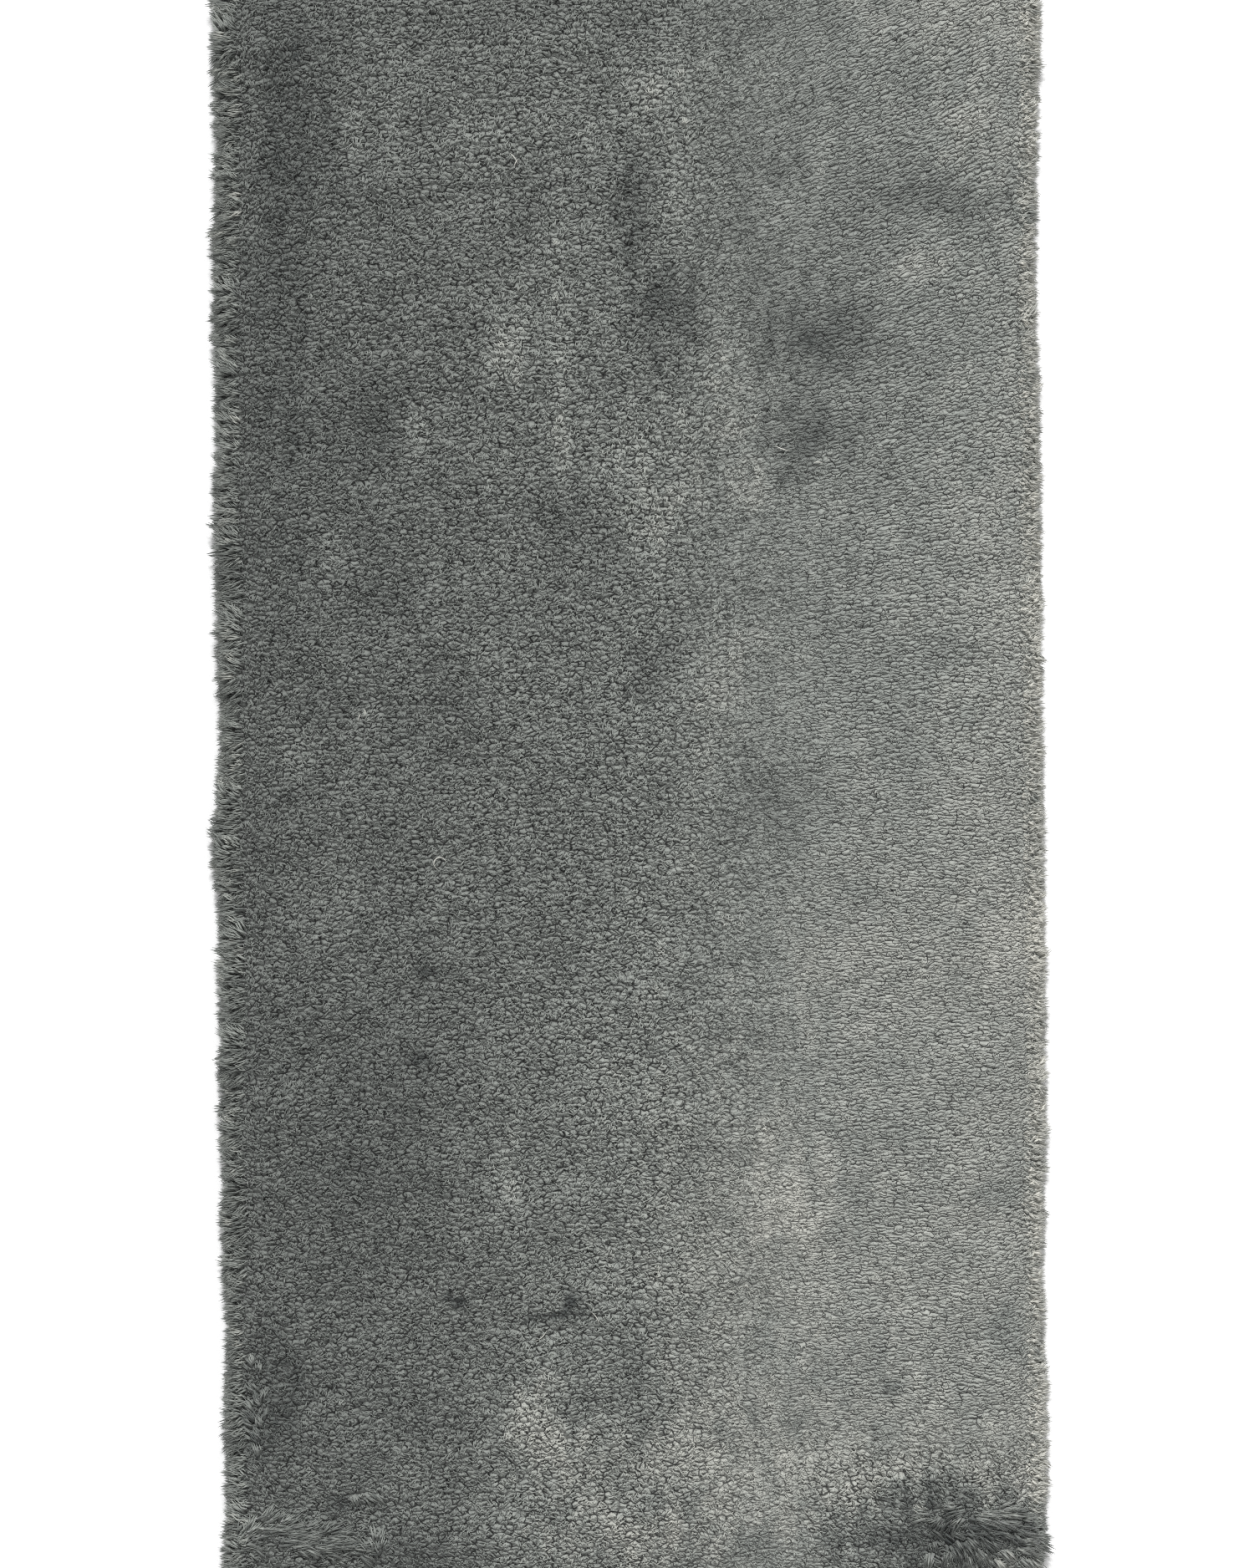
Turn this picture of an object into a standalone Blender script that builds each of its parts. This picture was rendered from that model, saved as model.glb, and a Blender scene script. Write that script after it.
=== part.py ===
"""A flat shag rug: a backing cloth, and the deep pile tufted through it.

The pile is one lumpy slab with the locks of yarn that hang over its rim. Metres, +Z up. The rug's length
runs along Y, and the origin is on the floor under the middle of the rug.
"""

import math
import random
from collections import namedtuple

import bmesh
import bpy
from mathutils import Vector, noise

# Driving dimensions
RUG_WIDTH = 0.800  # over the tips of the longest locks
RUG_LENGTH = 1.600
LOCK_REACH = 0.012  # the rim's longest locks, past the pile's bulge
CORNER_RADIUS = 0.030
BACKING_THICKNESS = 0.003
PILE_TOP = 0.033  # mean height of the tips of the pile above the floor
SEAT_GAP = 0.0003  # between the backing and the pile on it

# The rim of the pile, from its shoulder down to the backing. The bulge is the widest ring.
Ring = namedtuple("Ring", "inset height")
SHOULDER, BULGE, FOOT = range(3)
RINGS = {
    SHOULDER: Ring(inset=0.009, height=0.027),
    BULGE: Ring(inset=0.000, height=0.015),
    FOOT: Ring(inset=0.003, height=BACKING_THICKNESS + SEAT_GAP),
}
BACKING_INSET = 0.001  # from the bulge to the backing's edge

# How far each long edge wanders out from its straight line, at places along the length.
EdgeRun = namedtuple("EdgeRun", "along left_out right_out")
EDGE_RUNS = (
    EdgeRun(-0.800, 0.000, -0.001),
    EdgeRun(-0.745, 0.003, -0.001),
    EdgeRun(-0.650, -0.003, -0.001),
    EdgeRun(-0.500, -0.005, -0.001),
    EdgeRun(-0.450, 0.000, -0.003),
    EdgeRun(-0.360, -0.003, 0.002),
    EdgeRun(-0.165, 0.001, 0.002),
    EdgeRun(-0.065, 0.005, 0.001),
    EdgeRun(0.080, -0.003, 0.001),
    EdgeRun(0.270, 0.002, 0.000),
    EdgeRun(0.465, 0.003, -0.004),
    EdgeRun(0.610, -0.001, -0.002),
    EdgeRun(0.800, 0.002, 0.002),
)

# Cells of the pile's top, and how many rim faces each of its outer cells is split into
CELLS_ACROSS = 36
CELLS_ALONG = 72
RIM_CUTS = 1

# Lumps of the top. A lump's size is the spacing of its highs.
Lump = namedtuple("Lump", "size height seed")
LUMPS = (
    Lump(size=0.230, height=0.0050, seed=3.0),
    Lump(size=0.085, height=0.0055, seed=11.0),
    Lump(size=0.050, height=0.0040, seed=29.0),
)
CROWN_WIDTH = 0.055  # over which the top falls towards its shoulder
CROWN_DROP = 0.003

# Locks: on two rim faces of every three, those on even faces above the bulge and the rest below it. The lengths
# and droops are those of the longest.
LOCK_SEED = 7
LOCK_GROUP = 3
BARE_FACE = 2
LOCK_LENGTH = {SHOULDER: 0.026, BULGE: 0.022}
LOCK_DROOP = {SHOULDER: 0.013, BULGE: 0.009}
LOCK_SHORTEST = 0.45  # of the longest
LOCK_MIDWAY = 0.60  # of the way to the tip, where a lock bends down
LOCK_MID_SCALE = 0.70  # of its root's width
LEFT_SLANT = 0.75  # the locks of the left edge are swept towards +Y
OTHER_SLANT = 0.15
SLANT_SPREAD = 0.35
LOWEST_TIP = 0.0006

BACKING_POINTS_PER_CELL = 2

# Finishes: linear colour, roughness
PILE_COLOUR = (0.165, 0.172, 0.162, 1.0)
BACKING_COLOUR = (0.060, 0.062, 0.060, 1.0)
YARN_ROUGHNESS = 0.90
BACKING_ROUGHNESS = 0.95


def clear_scene():
    for old in list(bpy.data.objects):
        bpy.data.objects.remove(old, do_unlink=True)


def new_material(name, colour, roughness):
    material = bpy.data.materials.new(name)
    material.use_nodes = True
    shader = material.node_tree.nodes["Principled BSDF"]
    shader.inputs["Base Color"].default_value = colour
    shader.inputs["Roughness"].default_value = roughness
    shader.inputs["Metallic"].default_value = 0.0
    material.diffuse_color = colour
    return material


def edge_out(y, column):
    """The wander of one long edge at y, eased between the rows of EDGE_RUNS."""
    low, high = next(run for run in zip(EDGE_RUNS, EDGE_RUNS[1:]) if y <= run[1].along)
    share = min(max((y - low.along) / (high.along - low.along), 0.0), 1.0)
    share = (1 - math.cos(math.pi * share)) / 2
    return getattr(low, column) * (1 - share) + getattr(high, column) * share


def on_outline(u, v, inset):
    """The place of (u, v), each from -1 to 1, in the rug's outline taken in by inset from the bulge."""
    half_x = RUG_WIDTH / 2 - LOCK_REACH - inset
    half_y = RUG_LENGTH / 2 - LOCK_REACH - inset
    radius = max(CORNER_RADIUS - inset, CORNER_RADIUS / 2)
    x, y = abs(u) * half_x, abs(v) * half_y
    past_x, past_y = x - (half_x - radius), y - (half_y - radius)
    if past_x > 0 and past_y > 0:  # this square of each corner is rounded into a quarter disc
        rounding = max(past_x, past_y) / math.hypot(past_x, past_y)
        x = half_x - radius + past_x * rounding
        y = half_y - radius + past_y * rounding
    y = math.copysign(y, v)
    wander = edge_out(y, "left_out" if u < 0 else "right_out")
    return math.copysign(x, u) + math.copysign(wander, u) * abs(u), y


def lumps_at(x, y):
    return sum(
        lump.height * noise.noise(Vector((x / lump.size, y / lump.size, lump.seed)))
        for lump in LUMPS
    )


def top_height(u, v, x, y):
    """The pile's height at (x, y): full in the middle, and falling over its crown to the shoulder ring."""
    to_edge = min((1 - abs(u)) * RUG_WIDTH / 2, (1 - abs(v)) * RUG_LENGTH / 2)
    if to_edge <= 0:
        return RINGS[SHOULDER].height + lumps_at(x, y) / 2
    fall = max(0.0, 1 - to_edge / CROWN_WIDTH) ** 2
    return PILE_TOP - CROWN_DROP * fall + lumps_at(x, y)


def slab_rings(bm):
    """The top as a grid and two rings of wall below it, in (u, v) with the ring's number for z, and its floor."""
    bmesh.ops.create_grid(bm, x_segments=CELLS_ACROSS, y_segments=CELLS_ALONG, size=1.0)
    rim = [edge for edge in bm.edges if edge.is_boundary]
    bmesh.ops.subdivide_edges(bm, edges=rim, cuts=RIM_CUTS)
    walls = {}
    for ring in (BULGE, FOOT):
        rim = [edge for edge in bm.edges if edge.is_boundary]
        made = bmesh.ops.extrude_edge_only(bm, edges=rim)["geom"]
        for vertex in (item for item in made if isinstance(item, bmesh.types.BMVert)):
            vertex.co.z = ring
        walls[ring - 1] = [item for item in made if isinstance(item, bmesh.types.BMFace)]
    rim = [edge for edge in bm.edges if edge.is_boundary]
    bmesh.ops.edgeloop_fill(bm, edges=rim)
    return walls


def around(face):
    """The angle at which a rim face stands from the rug's middle, in (u, v)."""
    middle = face.calc_center_median()
    return math.atan2(middle.y, middle.x)


def place_slab(bm):
    for vertex in bm.verts:
        u, v, ring = vertex.co.x, vertex.co.y, round(vertex.co.z)
        x, y = on_outline(u, v, RINGS[ring].inset)
        z = top_height(u, v, x, y) if ring == SHOULDER else RINGS[ring].height
        vertex.co = (x, y, z)
    bm.normal_update()
    bmesh.ops.recalc_face_normals(bm, faces=bm.faces)


def grow_lock(bm, face, tier, rng):
    """Draws one rim face out into a four-sided lock that bends down to its tip."""
    out = Vector((face.normal.x, face.normal.y, 0)).normalized()
    along = Vector((-out.y, out.x, 0)) * (-1 if out.x < 0 else 1)  # towards +Y on both long edges
    slant = (LEFT_SLANT if out.x < -0.5 else OTHER_SLANT) + rng.uniform(-SLANT_SPREAD, SLANT_SPREAD)
    length = LOCK_LENGTH[tier] * rng.uniform(LOCK_SHORTEST, 1.0)
    drop = Vector((0, 0, -LOCK_DROOP[tier] * rng.uniform(LOCK_SHORTEST, 1.0)))
    root = face.calc_center_median()
    sweep = (out + along * slant).normalized() * length
    tip = root + sweep + drop
    tip.x = min(max(tip.x, -RUG_WIDTH / 2), RUG_WIDTH / 2)
    tip.y = min(max(tip.y, -RUG_LENGTH / 2), RUG_LENGTH / 2)
    tip.z = max(tip.z, LOWEST_TIP)
    middle = root + (tip - root) * LOCK_MIDWAY - drop * LOCK_MIDWAY / 2

    drawn = bmesh.ops.extrude_discrete_faces(bm, faces=[face])["faces"][0]
    for vertex in drawn.verts:
        vertex.co = middle + (vertex.co - root) * LOCK_MID_SCALE
        vertex.co.z = max(vertex.co.z, RINGS[FOOT].height)  # clear of the backing
    bmesh.ops.poke(bm, faces=[drawn])["verts"][0].co = tip


def make_pile(collection, material):
    bm = bmesh.new()
    walls = slab_rings(bm)
    ordered = {tier: sorted(faces, key=around) for tier, faces in walls.items()}
    place_slab(bm)
    rng = random.Random(LOCK_SEED)
    for number in range(len(ordered[SHOULDER])):
        if number % LOCK_GROUP != BARE_FACE:
            tier = SHOULDER if number % 2 == 0 else BULGE
            grow_lock(bm, ordered[tier][number], tier, rng)
    bmesh.ops.recalc_face_normals(bm, faces=bm.faces)
    mesh = bpy.data.meshes.new("pile")
    bm.to_mesh(mesh)
    bm.free()
    mesh.shade_smooth()
    mesh.materials.append(material)
    pile = bpy.data.objects.new("pile", mesh)
    collection.objects.link(pile)


def backing_outline():
    """Points round the backing's edge, anticlockwise from its corner at +X and +Y."""
    across = CELLS_ACROSS * BACKING_POINTS_PER_CELL
    along = CELLS_ALONG * BACKING_POINTS_PER_CELL
    sides = (
        [(1 - 2 * i / across, 1) for i in range(across)]
        + [(-1, 1 - 2 * i / along) for i in range(along)]
        + [(-1 + 2 * i / across, -1) for i in range(across)]
        + [(1, -1 + 2 * i / along) for i in range(along)]
    )
    return [on_outline(u, v, BACKING_INSET) for u, v in sides]


def make_backing(collection, material):
    curve = bpy.data.curves.new("backing", "CURVE")
    curve.dimensions = "2D"
    curve.fill_mode = "BOTH"
    curve.extrude = BACKING_THICKNESS / 2
    outline = backing_outline()
    spline = curve.splines.new("POLY")
    spline.points.add(len(outline) - 1)
    for point, (x, y) in zip(spline.points, outline):
        point.co = (x, y, 0, 1)
    spline.use_cyclic_u = True
    curve.materials.append(material)
    backing = bpy.data.objects.new("backing", curve)
    backing.location.z = BACKING_THICKNESS / 2
    collection.objects.link(backing)


def main():
    clear_scene()
    rug = bpy.data.collections.new("shag_rug")
    bpy.context.scene.collection.children.link(rug)
    make_backing(rug, new_material("woven_backing", BACKING_COLOUR, BACKING_ROUGHNESS))
    make_pile(rug, new_material("cut_pile", PILE_COLOUR, YARN_ROUGHNESS))


main()
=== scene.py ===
import math
import random
from collections import namedtuple

import bmesh
import bpy
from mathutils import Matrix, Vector, noise
from mathutils.bvhtree import BVHTree


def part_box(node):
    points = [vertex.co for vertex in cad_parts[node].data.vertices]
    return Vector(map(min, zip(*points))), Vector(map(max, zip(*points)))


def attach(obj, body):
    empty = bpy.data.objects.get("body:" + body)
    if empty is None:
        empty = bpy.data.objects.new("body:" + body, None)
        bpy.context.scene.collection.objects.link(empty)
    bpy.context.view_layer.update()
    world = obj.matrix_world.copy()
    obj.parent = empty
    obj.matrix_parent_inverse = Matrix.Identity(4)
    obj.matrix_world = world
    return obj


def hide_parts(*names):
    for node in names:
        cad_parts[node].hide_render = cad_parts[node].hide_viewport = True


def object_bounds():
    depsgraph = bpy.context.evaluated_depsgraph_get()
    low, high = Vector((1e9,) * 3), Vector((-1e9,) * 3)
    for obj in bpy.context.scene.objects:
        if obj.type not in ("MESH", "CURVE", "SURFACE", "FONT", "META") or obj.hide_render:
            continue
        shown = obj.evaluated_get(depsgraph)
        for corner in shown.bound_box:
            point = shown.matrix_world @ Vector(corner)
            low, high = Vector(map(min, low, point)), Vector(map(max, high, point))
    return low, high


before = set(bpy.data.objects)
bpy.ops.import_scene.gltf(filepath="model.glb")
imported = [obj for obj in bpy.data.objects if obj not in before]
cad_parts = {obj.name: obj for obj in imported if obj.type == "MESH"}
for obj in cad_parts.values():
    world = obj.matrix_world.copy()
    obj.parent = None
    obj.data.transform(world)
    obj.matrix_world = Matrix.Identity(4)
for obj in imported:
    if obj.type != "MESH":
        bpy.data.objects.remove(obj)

cad_low, cad_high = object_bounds()

# The studio. A long lens looks straight down at the middle of the rug, whose two ends run just out of the
# picture. A soft lamp stands beyond the rug's far end, a pale ceiling fills the shadows, and the rug lies on
# white paper.
PHOTO_WIDTH, PHOTO_HEIGHT = 1500, 1876
RUG_WIDTH_IN_PHOTO = 990
RUG_MIDDLE_IN_PHOTO = 752.7
METRES_PER_PIXEL = (cad_high[0] - cad_low[0]) / RUG_WIDTH_IN_PHOTO
LENS_MM = 85.0
SENSOR_MM = 36.0
CAMERA_TWIST = math.radians(0.38)
FILTER_PIXELS = 0.85
LAMP_STRENGTH = 2.75
LAMP_SIZE = math.radians(8)
LAMP_TILT = math.radians(48)
CEILING_STRENGTH = 0.62
PAPER_SIZE = 12.0
scene = bpy.context.scene


def new_object(name, data):
    made = bpy.data.objects.new(name, data)
    scene.collection.objects.link(made)
    return made


lens = bpy.data.cameras.new("camera")
lens.lens = LENS_MM
lens.sensor_width = SENSOR_MM
camera = new_object("camera", lens)
camera.location = (
    (PHOTO_WIDTH / 2 - RUG_MIDDLE_IN_PHOTO) * METRES_PER_PIXEL,
    0,
    cad_high[2] + PHOTO_HEIGHT * METRES_PER_PIXEL * LENS_MM / SENSOR_MM,
)
camera.rotation_euler = (0, 0, -CAMERA_TWIST)
scene.camera = camera
scene.cycles.filter_width = FILTER_PIXELS
scene.cycles.use_denoising = False
scene.view_settings.view_transform = "Standard"

lamp = new_object("lamp", bpy.data.lights.new("lamp", "SUN"))
lamp.data.energy = LAMP_STRENGTH
lamp.data.angle = LAMP_SIZE
lamp.rotation_euler = (-LAMP_TILT, 0, 0)


def linear(hex_colour):
    """An sRGB hex colour as the linear numbers that a socket takes."""
    shares = [int(hex_colour[i : i + 2], 16) / 255 for i in (1, 3, 5)]
    return [c / 12.92 if c <= 0.04045 else ((c + 0.055) / 1.055) ** 2.4 for c in shares] + [1.0]


def node(tree, kind, sockets=None, **settings):
    """Adds a node with these settings. A socket gets a value, or a link from a node or its output."""
    made = tree.nodes.new(kind)
    for name, value in settings.items():
        setattr(made, name, value)
    for socket, value in (sockets or {}).items():
        if isinstance(value, bpy.types.Node):
            value = value.outputs[0]
        if isinstance(value, bpy.types.NodeSocket):
            tree.links.new(value, made.inputs[socket])
        else:
            made.inputs[socket].default_value = value
    return made


def new_material(name):
    material = bpy.data.materials.new(name)
    material.use_nodes = True
    material.node_tree.nodes.clear()
    return material, material.node_tree


ceiling = bpy.data.worlds.new("pale_ceiling")
ceiling.use_nodes = True
ceiling.node_tree.nodes.clear()
glow = node(
    ceiling.node_tree, "ShaderNodeBackground", {"Color": linear("#ffffff"), "Strength": CEILING_STRENGTH}
)
node(ceiling.node_tree, "ShaderNodeOutputWorld", {"Surface": glow})
scene.world = ceiling

# Uncoated paper: matt and even.
paper, tree = new_material("uncoated_white_paper")
surface = node(tree, "ShaderNodeBsdfPrincipled", {"Base Color": linear("#fbfbfb"), "Roughness": 0.95})
node(tree, "ShaderNodeOutputMaterial", {"Surface": surface})
bpy.ops.mesh.primitive_plane_add(size=PAPER_SIZE)
floor = bpy.context.object
floor.name = "floor"
floor.data.materials.append(paper)

# The backing. Polypropylene tape in a plain weave, 3 mm thick with the latex that locks the tufts in. It is
# the ground that the yarn is punched through. It shows underneath, and as a dark line where the pile parts.
TAPE = 0.0024  # the width of one tape
TAPE_RELIEF = 0.0004
LATEX_SCALE = 60.0  # patches of about 17 mm

# Polypropylene tape: flat and a little shiny, over and under in a plain weave, and dull under the latex. Each
# tape is drawn darker towards its edges, a painted shade where it dips under the next.
tape, tree = new_material("woven_polypropylene_with_latex")
place = node(tree, "ShaderNodeTexCoord").outputs["Object"]
threads = node(tree, "ShaderNodeVectorMath", {0: place, "Scale": 1 / TAPE}, operation="SCALE")
check = node(tree, "ShaderNodeTexChecker", {"Vector": threads, "Scale": 1.0})
inside = node(tree, "ShaderNodeVectorMath", {0: threads}, operation="FRACTION")
from_middle = node(tree, "ShaderNodeVectorMath", {0: inside, 1: (0.5, 0.5, 0.5)}, operation="SUBTRACT")
off_middle = node(tree, "ShaderNodeVectorMath", {0: from_middle}, operation="ABSOLUTE")
sides = node(tree, "ShaderNodeSeparateXYZ", {0: off_middle})
on_top = node(
    tree,
    "ShaderNodeMix",
    {"Factor": check.outputs["Fac"], 2: sides.outputs["X"], 3: sides.outputs["Y"]},
    data_type="FLOAT",
)
crown = node(
    tree,
    "ShaderNodeMapRange",
    {0: on_top, 1: 0.30, 2: 0.50, 3: 1.0, 4: 0.0},
    interpolation_type="SMOOTHSTEP",
)
smear = node(tree, "ShaderNodeTexNoise", {"Vector": place, "Scale": LATEX_SCALE, "Detail": 3.0})
# Painted shade: each tape darker towards its edges, where it dips under the next.
weave_shade_tones = node(tree, "ShaderNodeValToRGB", {0: crown})
weave_shade_tones.color_ramp.elements[0].color = linear("#232625")
weave_shade_tones.color_ramp.elements[1].color = linear("#4a4e4d")
latex = node(tree, "ShaderNodeMapRange", {0: smear, 1: 0.52, 2: 0.66, 3: 0.0, 4: 0.55})
coated = node(
    tree,
    "ShaderNodeMix",
    {"Factor": latex, "A": weave_shade_tones, "B": linear("#6c706d")},
    data_type="RGBA",
)
bump = node(tree, "ShaderNodeBump", {"Height": crown, "Strength": 1.0, "Distance": TAPE_RELIEF})
surface = node(
    tree,
    "ShaderNodeBsdfPrincipled",
    {
        "Base Color": coated.outputs["Result"],
        "Roughness": 0.62,
        "Specular IOR Level": 0.4,
        "Normal": bump,
    },
)
node(tree, "ShaderNodeOutputMaterial", {"Surface": surface})
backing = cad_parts["backing"]
backing.data.materials.clear()
backing.data.materials.append(tape)
backing_low, backing_high = (Vector(corner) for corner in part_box("backing"))
cloth_width, cloth_length = backing_high.x - backing_low.x, backing_high.y - backing_low.y

# The overlocked edge. A dark polyester thread is whipped over the cut edge of the cloth all the way round, so
# that it doesn't fray. The machine that hems the rug makes it, and the pile hides all but its outer side.
WHIP_STEP = 0.0048
WHIP_RADIUS = 0.0007
WHIP_INWARDS = 0.0050
WHIP_SLANT = 0.0016
WHIP_SIDES = 3
TWIST_SCALE = 900.0  # the twist of the thread, about a millimetre long


def surface_of(obj):
    corners = [obj.matrix_world @ vertex.co for vertex in obj.data.vertices]
    return BVHTree.FromPolygons(corners, [face.vertices for face in obj.data.polygons])


backing_surface = surface_of(backing)


def cloth_edges(y):
    """Where the cloth's left and right edges are at y."""
    found = []
    for side in (-1, 1):
        start = Vector((side, y, (backing_low.z + backing_high.z) / 2))
        found.append(backing_surface.ray_cast(start, Vector((-side, 0, 0)))[0].x)
    return found


def cloth_outline(step, inset):
    """Points round the cloth, anticlockwise from its near left corner, this far apart and this far inside."""
    y_low, y_high = backing_low.y + inset, backing_high.y - inset
    rows = round((y_high - y_low) / step)
    edges = [(y, *cloth_edges(y)) for y in (y_low + (y_high - y_low) * row / rows for row in range(rows + 1))]
    columns = round((cloth_width - 2 * inset) / step)
    outline = []
    for (y, left, right), run in ((edges[0], range(columns)), (edges[-1], range(columns, 0, -1))):
        end = [Vector((left + inset + (right - left - 2 * inset) * column / columns, y, 0)) for column in run]
        if y == y_low:
            outline += end + [Vector((right - inset, y, 0)) for y, left, right in edges[:-1]]
        else:
            outline += end + [Vector((left + inset, y, 0)) for y, left, right in reversed(edges[1:])]
    return outline


def outward(ring, i):
    """The way out of this closed ring at its corner i."""
    along = ring[(i + 3) % len(ring)] - ring[i - 3]
    return Vector((along.y, -along.x, 0)).normalized()


# Polyester thread: twisted, dark and nearly matt.
thread, tree = new_material("twisted_polyester_thread")
along = node(tree, "ShaderNodeTexCoord").outputs["Object"]
twist = node(tree, "ShaderNodeTexNoise", {"Vector": along, "Scale": TWIST_SCALE, "Detail": 1.0})
twist_tones = node(tree, "ShaderNodeValToRGB", {0: twist})
twist_tones.color_ramp.elements[0].color = linear("#1f2222")
twist_tones.color_ramp.elements[1].color = linear("#4b504f")
surface = node(tree, "ShaderNodeBsdfPrincipled", {"Base Color": twist_tones, "Roughness": 0.75})
node(tree, "ShaderNodeOutputMaterial", {"Surface": surface})


def geometry_tree(name, **inputs):
    """An empty geometry nodes tree and the node that gives its inputs, which have these names and kinds."""
    tree = bpy.data.node_groups.new(name, "GeometryNodeTree")
    tree.interface.new_socket("Geometry", in_out="OUTPUT", socket_type="NodeSocketGeometry")
    for label, kind in inputs.items():
        tree.interface.new_socket(label, in_out="INPUT", socket_type=f"NodeSocket{kind}")
    return tree, node(tree, "NodeGroupInput")


def whipping_tree():
    """Geometry nodes that lay one turn of thread over the edge at each point, turned to face outwards."""
    tree, given = geometry_tree("whipping", Edge="Geometry", Turn="Object", Radius="Float", Thread="Material")
    turn = node(tree, "GeometryNodeObjectInfo", {"Object": given.outputs["Turn"]})
    section = node(
        tree,
        "GeometryNodeCurvePrimitiveCircle",
        {"Resolution": WHIP_SIDES, "Radius": given.outputs["Radius"]},
        mode="RADIUS",
    )
    swept = node(
        tree,
        "GeometryNodeCurveToMesh",
        {"Curve": turn.outputs["Geometry"], "Profile Curve": section.outputs["Curve"], "Fill Caps": True},
    )
    facing = node(tree, "GeometryNodeInputNamedAttribute", {"Name": "facing"}, data_type="FLOAT_VECTOR")
    stance = node(tree, "FunctionNodeEulerToRotation", {0: facing})
    laid = node(
        tree,
        "GeometryNodeInstanceOnPoints",
        {"Points": given.outputs["Edge"], "Instance": swept, "Rotation": stance},
    )
    real = node(tree, "GeometryNodeRealizeInstances", {0: laid})
    sewn = node(tree, "GeometryNodeSetMaterial", {"Geometry": real, "Material": given.outputs["Thread"]})
    node(tree, "NodeGroupOutput", {0: sewn})
    return tree


def set_inputs(modifier, values):
    for item in modifier.node_group.interface.items_tree:
        if item.in_out == "INPUT" and item.name in values:
            modifier[item.identifier] = values[item.name]


def grown(obj, tree, values):
    """Puts what these geometry nodes grow on obj in the place of its own mesh, as one plain mesh."""
    modifier = obj.modifiers.new(tree.name, "NODES")
    modifier.node_group = tree
    set_inputs(modifier, values)
    mesh = bpy.data.meshes.new_from_object(obj.evaluated_get(bpy.context.evaluated_depsgraph_get()))
    obj.modifiers.remove(modifier)
    seeds, obj.data = obj.data, mesh
    bpy.data.meshes.remove(seeds)
    mesh.name = obj.name
    return obj


# One turn: out along the top of the cloth, down its edge and a little way in under it, on a slant.
low, high = backing_low.z + WHIP_RADIUS, backing_high.z + WHIP_RADIUS * 0.4
turn_curve = bpy.data.curves.new("turn_of_thread", "CURVE")
turn_curve.dimensions = "3D"
spline = turn_curve.splines.new("POLY")
turn_points = (
    (-WHIP_INWARDS, -WHIP_SLANT, high - WHIP_RADIUS),
    (-WHIP_INWARDS * 0.5, -WHIP_SLANT * 0.5, high),
    (WHIP_RADIUS * 0.2, 0, high - WHIP_RADIUS * 0.5),
    (WHIP_RADIUS, WHIP_SLANT * 0.4, (low + high) / 2),
    (WHIP_RADIUS * 0.2, WHIP_SLANT * 0.8, low),
    (-WHIP_INWARDS * 0.3, WHIP_SLANT, low + WHIP_RADIUS),
)
spline.points.add(len(turn_points) - 1)
for point, corner in zip(spline.points, turn_points):
    point.co = (*corner, 1)
turn_of_thread = bpy.data.objects.new("turn_of_thread", turn_curve)

edge_ring = cloth_outline(WHIP_STEP, 0)
edge_mesh = bpy.data.meshes.new("overlocked_edge")
edge_mesh.from_pydata(edge_ring, [], [])
facing = []
for i in range(len(edge_ring)):
    out = outward(edge_ring, i)
    facing += [0, 0, math.atan2(out.y, out.x)]
edge_mesh.attributes.new("facing", "FLOAT_VECTOR", "POINT").data.foreach_set("vector", facing)
overlocked_edge = new_object("overlocked_edge", edge_mesh)
grown(overlocked_edge, whipping_tree(), {"Turn": turn_of_thread, "Radius": WHIP_RADIUS, "Thread": thread})
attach(overlocked_edge, "root")
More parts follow.
